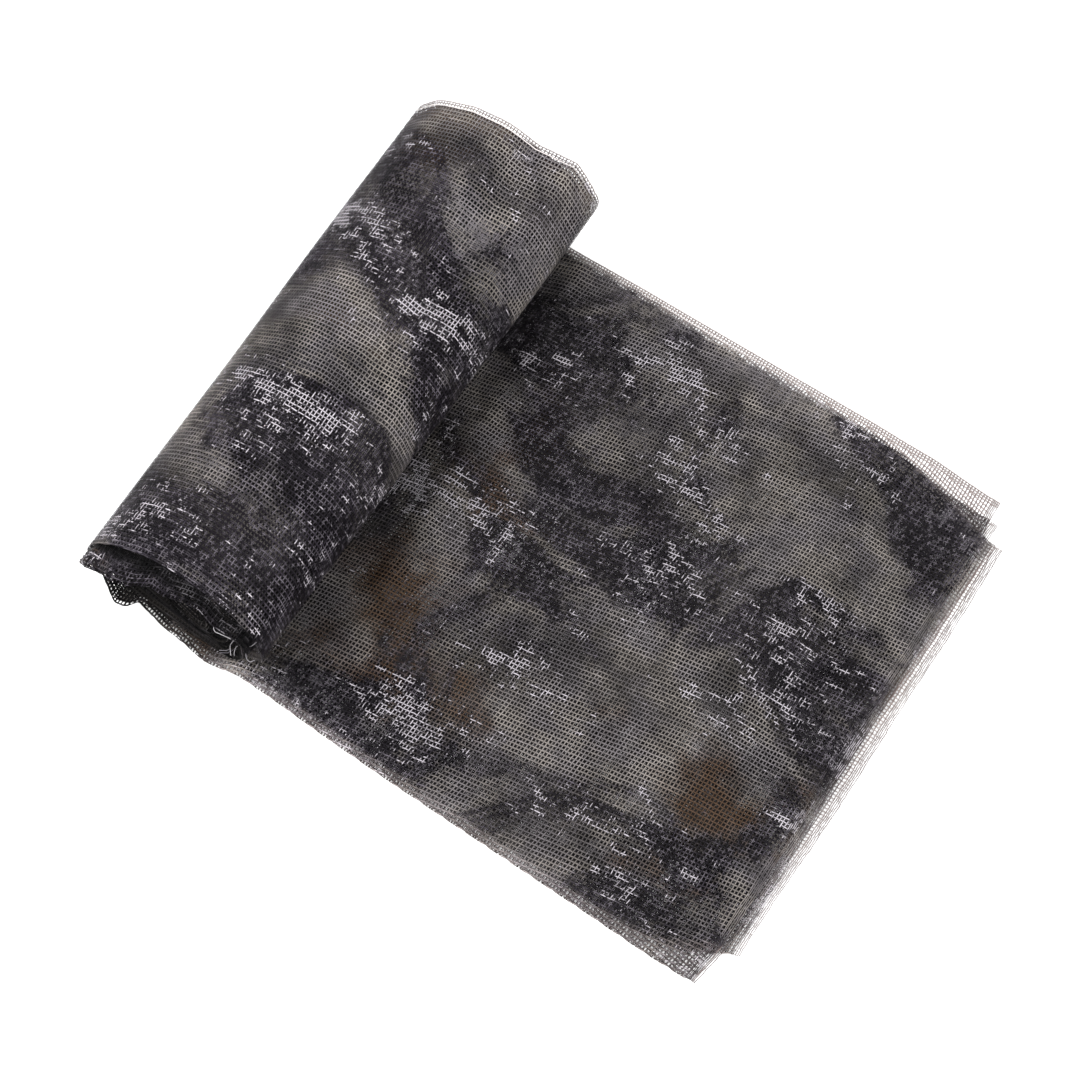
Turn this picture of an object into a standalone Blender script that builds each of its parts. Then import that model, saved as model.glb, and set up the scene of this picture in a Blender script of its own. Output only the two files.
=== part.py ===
"""A camouflage net, folded lengthwise into four layers and wound into a soft roll.

The net is one panel, 1.42 m by 3.66 m, so it is one solid. Its loose end lies flat as one
back-and-forth section of four layers, and the wound rest is one packet of four layers that goes
under the roll, up its left side and round inwards, in main turns that each stand for two or three
real ones. X runs from the roll to the loose end, Y along the roll, Z up; metres.
"""

import math

import bmesh
import bpy
import numpy as np

MM = 0.001

# Driving dimensions of the folded panel.
FOLDED_WIDTH = 356 * MM
LOOSE_LENGTH = 386 * MM  # from below the roll's axis to the cut end
LAYER_THICKNESS = 1.0 * MM
LAYER_SPACING = 1.7 * MM
LAYER_COUNT = 4
STACK_HEIGHT = LAYER_SPACING * (LAYER_COUNT - 1) + LAYER_THICKNESS
DROOP = 8 * MM  # how far past a lower layer's edge the next layer takes to come down
END_STRETCH = 64 * MM  # the last stretch, where each layer's rows move out to its own cut end
RIDGE_FADE = 40 * MM  # the length over which a soft ridge fades at its two ends

# Driving dimensions of the roll.
ROLL_WIDTH = 130 * MM
ROLL_HEIGHT = 91 * MM
TURN_THICKNESS = 5.2 * MM
TURNS = 4.75
SIDE_STEP = 9.4 * MM  # how far each turn lies inside the one before, at the roll's sides
FLAT_STEP = 6.2 * MM  # the same above and below, where the roll's weight presses the turns
MAT_CLEARANCE = 0.15 * MM  # the packet lies this much above the ground and above the layers in it
ENTRY_ANGLE = 60  # degrees wound by which the packet has thinned down from the stack of layers
STEPS_PER_TURN = 32
FLAT_SPOT = 22 * MM  # half the width that lies flat below the roll's axis
BROAD_LEAN = 0.63 * MM  # how far the roll's slow bulges stand in and out of its oval
FINE_LEAN = 0.49 * MM  # the same for its closer ones

# The four layers' edges, from the roll to the cut end. Layers 1 and 2 share the lower near fold,
# layers 2 and 3 the far fold, layers 3 and 4 the upper near fold. Millimetres.
EDGE_COLUMNS = ("x", "lower near fold", "upper near fold", "bottom edge", "far fold", "top edge")
EDGE_ROWS = (
    (-30, 7, 3, 354, 350, 352),
    (0, 8, 3, 354, 349, 351),
    (66, 10, 4, 354, 348, 351),
    (160, 7, 1, 355, 347.5, 350.5),
    (300, 9, -2, 356, 346.5, 349),
    (322, 12, -2.5, 356, 345, 346),
    (345, 17, -3, 356, 339, 341),
    (386, 24, -3, 353, 326.5, 339),
)

# Where the cut end of each layer lies, from the near side to the far side. Millimetres.
END_COLUMNS = ("y", "layer 1", "layer 2", "layer 3", "layer 4")
END_ROWS = (
    (-3, 386, 386, 372, 372),
    (24, 386, 386, 377, 377),
    (180, 384, 388, 384, 378),
    (326, 377, 390, 390, 382),
    (356, 375, 390, 390, 383),
)

# Soft ridges that run across the loose end: place and reach along X, from and to along Y. Millimetres.
RIDGE_COLUMNS = ("x at the near side", "x at the far side", "half width", "height", "from y", "to y")
RIDGE_ROWS = (
    (92, 70, 9, 4.0, 90, 356),
    (118, 132, 11, 1.8, 20, 240),
    (176, 150, 13, 1.6, 0, 120),
    (352, 360, 9, 1.2, 10, 300),
)
LAYER_LIFT = (0.0, 0.5, 0.8, 1.0)  # the share of a ridge's height that each layer takes

# The wound packet's two edges by the angle wound, in degrees clockwise from the roll's underside,
# seen from the near end. Millimetres.
WOUND_COLUMNS = ("angle", "near edge", "far edge")
WOUND_ROWS = (
    (0, 2, 353),
    (20, 4, 354),
    (36, 8, 355),
    (50, -3, 356),
    (64, -6, 356),
    (85, 0, 356),
    (106, 6, 357),
    (124, 11, 360),
    (147, 15.5, 362),
    (180, 19.4, 365),
    (204, 18.9, 366),
    (229, 17, 371.5),
    (259, 13.2, 369),
    (300, 11, 366),
    (360, 8, 362),
    (450, -1, 358),
    (490, -3, 359),
    (514, -6, 361),
    (531, 6, 362),
    (551, 8.7, 363),
    (567, 11.5, 364),
    (578, 6, 365),
    (603, 9.8, 364),
    (660, 9, 360),
    (720, 6, 357),
    (810, 8, 354),
    (900, 12, 358),
    (990, 12, 357),
    (1080, 9, 354),
    (1170, 5, 351),
    (1260, 14, 353),
    (1350, 12, 354),
    (1440, 8, 350),
    (1530, 11, 349),
    (1620, 16, 351),
    (1710, 14, 352),
)

# Ripples of the packet by its near edge: the angles they cover, in degrees, how many there are,
# how high they are and how far along Y they reach. Millimetres.
RIPPLE_COLUMNS = ("from angle", "to angle", "waves", "height", "reach")
RIPPLE_ROWS = (
    (30, 96, 2, 2.0, 16),
    (452, 530, 3, 2.0, 15),
    (545, 610, 1, 1.2, 14),
)

# How far along the roll each ring of points lies, as a share of its length.
ROLL_STATIONS = (0, 0.018, 0.045, 0.1, 0.3, 0.55, 0.8, 0.93, 0.975, 1)
MAT_STATIONS = (-12, 4, 24, 48, 60, 68, 76, 84, 92, 102, 118, 134, 156, 190, 250, 322, 340, 354, 366, 386)
ROWS_ACROSS_LAYER = (0, 0.012, 0.03, 0.07, 0.16, 0.38, 0.62, 0.84, 0.93, 0.97, 0.988, 1)
BEND_POINTS = 5

NET_COLOUR = (0.075, 0.07, 0.066, 1.0)
NET_ROUGHNESS = 0.85


def column(rows, index, scale=MM):
    return np.array([row[index] for row in rows], float) * scale


def smooth(share):
    """A soft step from 0 to 1 as share goes from 0 to 1."""
    share = np.clip(share, 0, 1)
    return share * share * (3 - 2 * share)


def edges_at(x):
    """The five edges of the layers at x, in the order of EDGE_COLUMNS after the first."""
    at = column(EDGE_ROWS, 0)
    return [np.interp(x, at, column(EDGE_ROWS, i)) for i in range(1, 6)]


def layer_range(layer, x):
    """The near and far edge of a layer, 0 at the bottom, at x."""
    lower_near, upper_near, bottom_edge, far_fold, top_edge = edges_at(x)
    return (
        (lower_near, bottom_edge),
        (lower_near, far_fold),
        (upper_near, far_fold),
        (upper_near, top_edge),
    )[layer]


def end_of(layer, y):
    return np.interp(y, column(END_ROWS, 0), column(END_ROWS, layer + 1))


def cover(layer, x, y):
    """1 where a layer lies, and softly down to 0 within DROOP past its edges."""
    near, far = layer_range(layer, x)
    sideways = np.minimum(smooth(1 + (y - near) / DROOP), smooth(1 + (far - y) / DROOP))
    return sideways * smooth(1 + (end_of(layer, y) - x) / DROOP)


def ridge_height(x, y):
    """The soft ridges' height at x and y, each a bell across its line and faded at its two ends."""
    total = np.zeros(np.broadcast(x, y).shape)
    for near_x, far_x, half_width, height, from_y, to_y in np.array(RIDGE_ROWS) * MM:
        line = near_x + (far_x - near_x) * y / FOLDED_WIDTH
        fade = smooth((y - from_y) / RIDGE_FADE + 0.5) * smooth((to_y - y) / RIDGE_FADE + 0.5)
        total += height * np.exp(-(((x - line) / half_width) ** 2)) * fade
    return total


def layer_height(layer, x, y):
    """The middle of a layer above the ground: the layers below it where they lie, and the ridges."""
    below = sum(cover(i, x, y) for i in range(layer)) if layer else np.zeros(np.shape(y))
    return LAYER_THICKNESS / 2 + LAYER_SPACING * below + LAYER_LIFT[layer] * ridge_height(x, y)


def stretched_x(station, layer, y):
    """The x of a row of points: the station, moved near the cut end so that the last one lies on it."""
    share = max(0.0, 1 - (LOOSE_LENGTH - station) / END_STRETCH)
    return station + share * (end_of(layer, y) - LOOSE_LENGTH)


def mat_line(station):
    """The middle line of the back-and-forth section at a station, as rows of x, y, z."""
    line = []
    shares = np.array(ROWS_ACROSS_LAYER)
    bend = np.linspace(-math.pi / 2, math.pi / 2, BEND_POINTS + 2)[1:-1]
    half_gap = LAYER_SPACING / 2
    for layer in range(LAYER_COUNT):
        near, far = layer_range(layer, station)
        near = near + half_gap
        if layer in (1, 2):
            far = far - half_gap
        y = near + shares * (far - near)
        if layer % 2 == 0:  # the bottom layer starts at its free far edge
            y = y[::-1]
        x = stretched_x(station, layer, y)
        z = layer_height(layer, x, y)
        line.append(np.column_stack([x, y, z]))
        if layer < LAYER_COUNT - 1:
            next_z = layer_height(layer + 1, x[-1], y[-1])
            middle, radius = (z[-1] + next_z) / 2, (next_z - z[-1]) / 2
            side = -1 if layer % 2 == 0 else 1
            line.append(
                np.column_stack(
                    [
                        np.full(BEND_POINTS, x[-1]),
                        y[-1] + side * half_gap * np.cos(bend),
                        middle + radius * np.sin(bend),
                    ]
                )
            )
    return np.concatenate(line)


def thickened(line, thickness):
    """A closed ring of points round a line: half the thickness out on one side, and back on the other.

    The side is found in the plane of the line's last two columns.
    """
    along = np.gradient(line[:, 1:], axis=0)
    along /= np.linalg.norm(along, axis=1)[:, None]
    out = np.column_stack([np.zeros(len(line)), -along[:, 1], along[:, 0]]) * thickness / 2
    return np.concatenate([line + out, (line - out)[::-1]])


def solid_of_rings(name, rings):
    """One closed mesh object from rings of points of equal number, with both ends filled in."""
    count = len(rings[0])
    points = np.concatenate(rings)
    faces = []
    for ring in range(len(rings) - 1):
        for i in range(count):
            a, b = ring * count + i, ring * count + (i + 1) % count
            faces.append((a, b, b + count, a + count))
    half = count // 2
    for start in (0, (len(rings) - 1) * count):
        for i in range(half - 1):
            a, b = start + i, start + i + 1
            faces.append((a, start + count - 1 - i, start + count - 2 - i, b))
    mesh = bpy.data.meshes.new(name)
    mesh.from_pydata(points.tolist(), [], faces)
    mesh.validate()
    made = bpy.data.objects.new(name, mesh)
    bpy.context.scene.collection.objects.link(made)
    return made


def face_outwards(made):
    """Turns the faces of a closed mesh outwards."""
    shape = bmesh.new()
    shape.from_mesh(made.data)
    bmesh.ops.recalc_face_normals(shape, faces=shape.faces)
    if shape.calc_volume(signed=True) < 0:
        bmesh.ops.reverse_faces(shape, faces=shape.faces)
    shape.to_mesh(made.data)
    shape.free()


def wound_point(angle):
    """The middle of the packet in the XZ plane at a wound angle in degrees, as x and z.

    It is an oval whose half width and half height shrink by one step a turn, with its underside
    held flat near the axis and each turn's underside a step above the one before.
    """
    turn = angle / 360
    turned = np.radians(angle)
    half_width = ROLL_WIDTH / 2 - TURN_THICKNESS / 2 - SIDE_STEP * np.maximum(turn - 0.25, 0)
    floor = STACK_HEIGHT / 2 + 2 * MAT_CLEARANCE + FLAT_STEP * turn
    ceiling = ROLL_HEIGHT - TURN_THICKNESS / 2 - FLAT_STEP * (turn - 0.5)
    middle = (floor + ceiling) / 2
    half_height = (ceiling - floor) / 2
    x = -half_width * np.sin(turned)
    z = middle - half_height * np.cos(turned)
    flattening = np.exp(-((x / FLAT_SPOT) ** 2) * 0.5) * (np.cos(turned) > 0)
    return x, z + (floor - z) * flattening


def wound_lean(angle, y):
    """The roll's uneven main form: how far the packet stands in or out of its oval at a place."""
    turned = np.radians(angle)
    along = math.pi * y / FOLDED_WIDTH
    broad = BROAD_LEAN * np.sin(2 * turned + 0.6) * np.sin(along / 0.7 + 0.4)
    fine = FINE_LEAN * np.sin(5 * turned + 1.2) * np.cos(along + 0.3)
    above_ground = smooth((1 - np.cos(turned)) / 0.6 - 0.2)
    return (broad + fine) * above_ground


def ripple(angle, from_edge):
    """The ripples near the packet's near edge, at a distance from that edge."""
    total = np.zeros(np.broadcast(angle, from_edge).shape)
    for start, stop, waves, height, reach in RIPPLE_ROWS:
        share = (angle - start) / (stop - start)
        inside = (share > 0) & (share < 1)
        wave = np.sin(math.pi * np.clip(share, 0, 1)) * np.sin(2 * math.pi * waves * share)
        total += height * MM * wave * inside * smooth(1 - from_edge / (reach * MM))
    return total


def packet_thickness(angle):
    """The thickness of the packet, a little more than the stack of layers where they enter it."""
    entered = STACK_HEIGHT + 2 * MAT_CLEARANCE
    return TURN_THICKNESS + (entered - TURN_THICKNESS) * smooth(1 - angle / ENTRY_ANGLE)


def wound_rings():
    """Rings of points round the packet, one for each wound angle: along its outer face and back inside."""
    angles = np.arange(0, TURNS * 360 + 0.1, 360 / STEPS_PER_TURN)
    x, z = wound_point(angles)
    step_x, step_z = np.gradient(x), np.gradient(z)
    length = np.hypot(step_x, step_z)
    # Wound clockwise, seen from the near end, the outer face is on the left of the way wound.
    out_x, out_z = -step_z / length, step_x / length
    near = np.interp(angles, column(WOUND_ROWS, 0, 1), column(WOUND_ROWS, 1))
    far = np.interp(angles, column(WOUND_ROWS, 0, 1), column(WOUND_ROWS, 2))
    rings = []
    for i, angle in enumerate(angles):
        y = near[i] + np.array(ROLL_STATIONS) * (far[i] - near[i])
        lean = wound_lean(angle, y) + ripple(angle, y - near[i])
        faces = []
        for side in (1, -1):
            out = lean + side * packet_thickness(angle) / 2
            faces.append(np.column_stack([x[i] + out_x[i] * out, y, z[i] + out_z[i] * out]))
        rings.append(np.concatenate([faces[0], faces[1][::-1]]))
    return rings


def net_material():
    made = bpy.data.materials.new("net")
    made.use_nodes = True
    shader = made.node_tree.nodes["Principled BSDF"]
    shader.inputs["Base Color"].default_value = NET_COLOUR
    shader.inputs["Roughness"].default_value = NET_ROUGHNESS
    shader.inputs["Metallic"].default_value = 0.0
    return made


def stand_on_origin(made, also):
    """Moves the meshes so that the origin is below the middle of the first object's bounds, on the ground."""
    bpy.context.view_layer.update()
    shape = made.evaluated_get(bpy.context.evaluated_depsgraph_get()).to_mesh()
    points = np.empty(len(shape.vertices) * 3)
    shape.vertices.foreach_get("co", points)
    low, high = points.reshape(-1, 3).min(0), points.reshape(-1, 3).max(0)
    middle = (low + high) / 2
    for each in (made, also):
        each.location = (-middle[0], -middle[1], -low[2])


def main():
    for old in list(bpy.data.objects):
        bpy.data.objects.remove(old, do_unlink=True)
    loose_end = solid_of_rings(
        "net", [thickened(mat_line(station * MM), LAYER_THICKNESS) for station in MAT_STATIONS]
    )
    wound = solid_of_rings("wound form", wound_rings())
    for made in (loose_end, wound):
        face_outwards(made)
    wound.hide_render = True
    wound.display_type = "WIRE"
    join = loose_end.modifiers.new("join the wound form", "BOOLEAN")
    join.operation = "UNION"
    join.object = wound
    loose_end.data.materials.append(net_material())
    stand_on_origin(loose_end, wound)


main()
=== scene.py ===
# A camouflage net of fine open mesh. The panel is folded lengthwise into four layers and wound into
# a soft roll, and its last stretch lies out flat. Every yarn is a thin ribbon, worked out from its
# place on the flat panel: s metres from the cut end, w metres across from the first free edge.
import math

import bpy
import numpy as np
from mathutils import Matrix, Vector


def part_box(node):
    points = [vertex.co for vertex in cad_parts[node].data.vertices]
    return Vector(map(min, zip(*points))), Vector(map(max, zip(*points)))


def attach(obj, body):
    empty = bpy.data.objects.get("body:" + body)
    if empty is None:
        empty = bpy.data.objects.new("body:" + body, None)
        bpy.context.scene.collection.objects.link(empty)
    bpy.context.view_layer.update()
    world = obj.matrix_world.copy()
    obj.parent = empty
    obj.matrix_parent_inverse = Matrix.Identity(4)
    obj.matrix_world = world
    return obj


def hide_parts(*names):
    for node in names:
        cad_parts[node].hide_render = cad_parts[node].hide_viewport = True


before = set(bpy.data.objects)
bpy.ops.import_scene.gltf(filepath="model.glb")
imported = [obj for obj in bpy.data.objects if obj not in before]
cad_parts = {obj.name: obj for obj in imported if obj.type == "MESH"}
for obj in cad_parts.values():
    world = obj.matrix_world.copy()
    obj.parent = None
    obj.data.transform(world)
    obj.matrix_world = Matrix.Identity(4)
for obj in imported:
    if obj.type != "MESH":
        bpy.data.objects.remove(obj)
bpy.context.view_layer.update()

mm = 0.001

camera = {
    "lens": 70.0,
    "sensor": 36.0,
    "clip": (0.05, 20.0),
    "azimuth": 33.244,
    "elevation": 71.143,
    "roll": -0.136,
    "distance": 1302 * mm,
    "aim": (149.5 * mm, 175.9 * mm, 0.0),  # from the roll's axis and the near edge
}

# where the roll's axis and the panel's near edge lie in the solid's box
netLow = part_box("net")[0]
axisX = netLow[0] + 65.2 * mm
nearY = netLow[1] + 5.0 * mm
groundZ = netLow[2]


def directions(azimuth, elevation):
    # from the object out to a place at these angles, and level to the right of it
    turn, rise = math.radians(azimuth), math.radians(elevation)
    back = [math.sin(turn) * math.cos(rise), -math.cos(turn) * math.cos(rise), math.sin(rise)]
    return np.array(back), np.array([math.cos(turn), math.sin(turn), 0.0])


def standAt(piece, right, up, back, where):
    # a camera or a lamp looks against the third of its own axes
    stand = np.identity(4)
    stand[:3] = np.stack([right, up, back, where], 1)
    piece.matrix_world = Matrix(stand.tolist())
    bpy.context.scene.collection.objects.link(piece)


def makeCamera(name, values):
    back, flat = directions(values["azimuth"], values["elevation"])
    above = np.cross(back, flat)
    tilt = math.radians(values["roll"])
    right = flat * math.cos(tilt) + above * math.sin(tilt)
    up = above * math.cos(tilt) - flat * math.sin(tilt)
    aim = np.array(values["aim"]) + (axisX, nearY, groundZ)
    made = bpy.data.objects.new(name, bpy.data.cameras.new(name))
    made.data.lens, made.data.sensor_width = values["lens"], values["sensor"]
    made.data.clip_start, made.data.clip_end = values["clip"]
    standAt(made, right, up, back, aim + back * values["distance"])
    bpy.context.scene.camera = made


makeCamera("camera", camera)
print("camera ready")

# the panel and its mesh, before it is folded
panel = {
    "layerWidth": 356 * mm,
    "length": 3660 * mm,
    "loose": 386 * mm,  # from the cut end to the roll's underside
    "pitchAlong": 2.26 * mm,  # from one crosswise yarn to the next
    "pitchAcross": 2.8 * mm,  # from one lengthwise yarn to the next
    "yarnShare": 0.36,  # a yarn's width as a share of the pitch
    "uneven": 0.2,  # how much a yarn's width varies
    "skew": -0.174,  # how far the loose end's lengthwise yarns drift across for each metre along
    "rollSkew": -0.01,  # the same on the roll
    "shear": 0.055,  # how far the loose end's crosswise yarns lean along for each metre across
    "rollShear": 0.02,  # the same on the roll
    "shearFades": (500 * mm, 350 * mm),  # from the roll's to the loose end's, by s
    "weave": 0.13 * mm,  # how far yarns pass over and under each other
    "stray": 0.2 * mm,  # how far a crossing lies from its even place
    "frayed": 6 * mm,  # the cut end has lost its lengthwise yarns by up to this much
    "worn": (0.35, 0.6),  # a yarn's width there as a share of itself: lengthwise, crosswise
    # along the first free edge, in millimetres from it: place, width, how little of the dye it took
    "border": ((0.4, 0.7, 0.12), (2.2, 0.7, 0.0), (4.0, 0.8, 0.9)),
    "borderHalf": 0.22 * mm,  # half the thickness of those yarns
    "borderReach": 4.9 * mm,  # no other lengthwise yarns this near it
    "undyedShare": ((172, 215, 600, 625), (0, 1, 1, 0.1)),  # of that, by s in millimetres
}

# how far the mesh is pulled about in its own plane, in millimetres
give = {"slowAlong": 0.9, "quickAlong": 0.28, "slowAcross": 1.1, "bowAcross": 1.7, "quickAcross": 0.3}

# for each set of random numbers
seeds = {"crossPlace": 1.0, "longPlace": 2.0, "crossWidth": 4.0, "longWidth": 6.0, "frayed": 5.0}

# edges of the layers, in millimetres: the place, the near fold of layers 1 and 2, the near fold of
# layers 3 and 4, layer 1's free edge, the far fold of layers 2 and 3, layer 4's free edge
loose = {
    "edges": (  # by x from the roll's axis
        (0, 7, 1.4, 355, 349, 351),
        (12, 6, -0.1, 355, 349, 351),
        (21, 5, -1.5, 355, 349, 351),
        (32, 6, 0.1, 355, 348.5, 351),
        (43, 8, 2.4, 355, 348.5, 351),
        (66, 8, 2.1, 355, 348, 351),
        (114, 6, 0, 356, 348, 351),
        (160, 5, -1.3, 356, 347, 350),
        (300, 4, -2.8, 356.5, 346, 348.5),
        (322, 4.5, -3.2, 356, 344.5, 346),
        (345, 8, -3.7, 356, 339, 341),
        (358, 15, -3.5, 355, 335, 340),
        (370, 22.5, -3.2, 354, 331, 339.5),
        (386, 24, -3, 353, 326.5, 339),
    ),
    "ends": (  # by y: where the cut end of layers 1 to 4 lies
        (-3, 385, 387, 372, 370),
        (24, 383, 387.5, 377, 374),
        (180, 383, 391, 380, 376),
        (326, 378, 391.5, 386, 381),
        (356, 376, 391, 386, 383),
    ),
    "ridges": (  # x at the near side, x at the far side, half width, height, from y, to y
        (92, 70, 9, 4.0, 90, 356),
        (118, 132, 11, 1.8, 20, 240),
        (176, 150, 13, 1.6, 0, 120),
        (352, 360, 9, 1.2, 10, 300),
    ),
    "ridgeShare": (0.0, 0.5, 0.8, 1.0),  # of a ridge's height, by layer
    "ridgeFade": 40 * mm,
    "first": 0.5 * mm,  # the bottom layer's middle above the ground
    "gap": 1.7 * mm,  # from layer to layer
    "droop": 8 * mm,  # over which a layer comes down past the edge of one below it
    "stretch": 330 * mm,  # the last stretch, where each layer's rows move to its own end
}

wound = {
    "edges": (  # by the angle wound, clockwise from the underside seen from the near end
        (0, 8, 1.4, 354, 349, 351),
        (10, 7, 1.9, 354, 350, 352),
        (23, 8, 4.5, 355, 351, 352),
        (31, 6.5, 6, 355, 352, 353),
        (36, 2, -1.4, 356, 352, 353),
        (43, -0.5, -3.2, 356, 353, 353),
        (49, 1.5, -1.2, 356, 353, 353),
        (56, 4.5, 2.3, 357, 354, 353),
        (62, 7, 5.6, 357, 354, 353),
        (71, 8, 3.3, 358, 355, 353),
        (82, 9, 1.2, 358, 355, 353),
        (95, 10, 0.5, 359, 356, 354),
        (110, 10.5, -1.0, 360, 357, 355),
        (130, 13, -1.8, 363, 359.5, 358),
        (139, 14.5, -2.2, 364, 360.5, 359),
        (150, 16.3, -2.6, 365, 361.5, 360),
        (160, 17.5, 0.5, 366.5, 362.8, 361),
        (171, 18.8, 6.5, 366.5, 363, 362),
        (181, 19.4, 6.0, 367, 363.5, 362),
        (191, 19.5, 8.7, 367, 363.5, 362.5),
        (204, 18.9, 10.9, 366.5, 363.5, 362.5),
        (218, 18.4, 8.3, 370, 367.2, 366),
        (230, 17.1, 9.0, 373.5, 371.2, 370),
        (243, 15.7, 9.8, 371.5, 369.4, 368.5),
        (256, 13.6, 10.0, 369.8, 367.8, 367),
        (274, 12, 10, 371, 369, 368),
        (292, 11.5, 9.4, 371, 369, 368),
        (320, 11, 8, 364, 361, 360),
        (360, 10, 7, 360, 357, 356),
    ),
    "deepFrom": (330, 390),  # over these degrees they pass into the deeper turns' edges
    "halfWidth": 63.8 * mm,  # of the outer layer, at the left
    "top": 91.0 * mm,  # the outer layer's highest place
    "gap": 0.62 * mm,  # from layer to layer
    "settled": (60, 0),  # degrees wound, from that gap to the loose end's
    "mostTurns": 15,
    "sideStep": 2.85 * mm,  # how much further in each turn lies at the sides
    "flatStep": 2.2 * mm,  # and above and below
    "firstClimb": 4.4 * mm,  # the first turn climbs over the loose end's layers
    "flatSpot": 22 * mm,  # half width of the flat underside
    "broadLean": 0.63 * mm,  # height of the broad bulges
    "fineLean": 0.49 * mm,
    "dents": (  # height in mm, times around, times along, start
        (0.30, 9.0, 0.7, 0.4),
        (0.22, -5.0, 2.1, 1.9),
        (0.16, 14.0, 1.3, 5.0),
    ),
    "leanFrom": (0.12, 0.72),  # bulges and dents, none to full, by 1 less the angle's cosine
    "flare": 4.5 * mm,  # how much further out the right side lies by the far end
    "flareMost": math.radians(286),
    "flareTurns": (6.5, 1.5),  # none to full, by turns wound
    "ripples": (  # from angle, to angle, waves, height in mm, reach in mm, for layers 3 and 4
        (28, 92, 2, 2.0, 16),
        (92, 165, 3, 2.2, 17),
        (180, 240, 1, 1.2, 14),
    ),
    "rippledFrom": (1.2, 1.8),  # none to full, by the layer counted from 0
    "tuck": 10 * mm,  # how far all but the outer two layers sink at the near end, above
    "tuckFrom": (1.1, 1.7),  # none to full, by the layer counted from 0
    "tuckAlong": (62 * mm, 12 * mm),  # by y
    "tuckMost": math.radians(222),
    "tuckAround": (-0.25, 0.65),  # by the cosine of the angle from there
}

# edges of the deeper turns, in millimetres and radians
inner = {
    "near": 14.0,
    "nearRise": 4.0,  # higher up they lie further in
    "nearDepth": 5.0,  # and the deepest furthest
    "forward": 4.0,  # drawn forward low on the right
    "forwardMost": 5.3,
    "far": 358.5,
    "farRise": 6.5,
    "farMost": 4.1,
    "steps": (0.0, -1.4, 1.8, -1.2, 0.0),  # from there to the five edges
}

# painted light and shade in the yarns' colour: how much light reaches each place, and how much
# painted backlight comes through from the pale ground. Pairs are places where one thing starts and
# where it is full
shade = {
    "loose": (0.8, 0.2, 0.2, 0.8),  # painted light: how open layers 1 to 4 lie on the loose end
    "wound": (1.0, 0.32, 0.3, 0.34),  # and on the roll's outer turn
    "deep": 0.55,  # and on the deeper turns
    "covered": (4 * mm, 18 * mm),  # in from a fold or from the cut end
    "rim": 0.84,  # painted shade: how much darker the inner layers are under the outer near fold
    "rimReach": 9 * mm,
    "rimFrom": (-1.5, -0.5),  # in such reaches from the fold
    "rimNarrow": 0.3,  # the reach's share where the outer layers start
    "rimWidens": (120, 200),  # degrees wound, from there to the whole reach
    "belly": 0.6,  # painted shade: how much darker the near end is under the roll
    "bellyAlong": (68 * mm, 34 * mm),  # by y
    "bellyAround": (110, 70),  # by degrees wound
    "bellyUnder": (-47.6 * mm, -13.6 * mm),  # on the loose end, by s from where the roll starts
    "lee": 0.45,  # painted shade: how much darker the loose end is beside the roll
    "leeBeside": (110 * mm, 62 * mm),  # by x from the roll's axis
    "leeAlong": (0, 34 * mm),  # by y
    "border": 2 * mm,  # over which a layer's edge counts in
    "single": (1.9, 1.1),  # where a layer lies alone, by how many lie there
    "double": (3.4, 1.9),  # and where two do
    "doubleShare": 0.24,  # of the painted backlight that comes through a single one
    "rollBacklight": 0.5,  # the same share at the roll's far end
}


def softStep(t):
    # 0 below 0, 1 above 1, and 3 t squared less 2 t cubed between
    t = np.clip(t, 0, 1)
    return t * t * (3 - 2 * t)


def ramp(value, none, full):
    # a soft step from 0 at the one to 1 at the other
    return softStep((value - none) / (full - none))


def readEdges(rows, at):
    # five edges at a place, each read along its own column
    table = np.array(rows, float)
    return [np.interp(at, table[:, 0], table[:, i]) * mm for i in range(1, 6)]


def spiralLine():
    # An oval whose half width and half height shrink with the angle, laid flat at its underside:
    # x = -halfWidth sin a, z = middle - halfHeight cos a. Lengths are summed along it.
    angle = np.arange(0, wound["mostTurns"] * 360, 0.5)
    turn, a = angle / 360, np.radians(angle)
    halfStack = 1.5 * wound["gap"]
    halfWidth = wound["halfWidth"] - halfStack - wound["sideStep"] * np.maximum(turn - 0.25, 0)
    low = loose["first"] + 1.5 * loose["gap"] + wound["firstClimb"] * softStep(turn)
    low = low + wound["flatStep"] * np.maximum(turn - 1, 0)
    high = wound["top"] - halfStack - wound["flatStep"] * (turn - 0.5)
    x = -halfWidth * np.sin(a)
    z = (low + high) / 2 - (high - low) / 2 * np.cos(a)
    z += (low - z) * np.exp(-0.5 * (x / wound["flatSpot"]) ** 2) * (np.cos(a) > 0)
    length = np.concatenate([[0], np.cumsum(np.hypot(np.diff(x), np.diff(z)))])
    dx, dz = np.gradient(x), np.gradient(z)
    size = np.hypot(dx, dz)
    return {"angle": angle, "length": length, "x": x, "z": z, "outX": -dz / size, "outZ": dx / size}


spiral = spiralLine()
outerEnd = np.interp(360, spiral["angle"], spiral["length"]) + panel["loose"]  # of the outer turn
lastAngle = np.interp(panel["length"] - panel["loose"], spiral["length"], spiral["angle"])
print("turns in the roll:", round(float(lastAngle) / 360, 2))


def innerEdges(angle):
    # the near and far lines go round with the cosine of the angle, and wander a little by turn
    a, turn = np.radians(angle), angle / 360
    near = inner["near"] - inner["nearRise"] * np.cos(a) + inner["nearDepth"] * ramp(turn, 1, 4)
    near = near - inner["forward"] * np.maximum(np.cos(a - inner["forwardMost"]), 0) ** 2
    near = near + 1.3 * np.sin(2.3 * turn + 0.8) + 0.9 * np.sin(2 * a + turn)
    far = inner["far"] + inner["farRise"] * np.cos(a - inner["farMost"]) * ramp(turn, 6, 1)
    far = far - 1.6 * np.sin(1.9 * turn) + 1.1 * np.cos(2 * a + 0.7 * turn)
    return [(line + step) * mm for line, step in zip((near, near, far, far, far), inner["steps"])]


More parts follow.
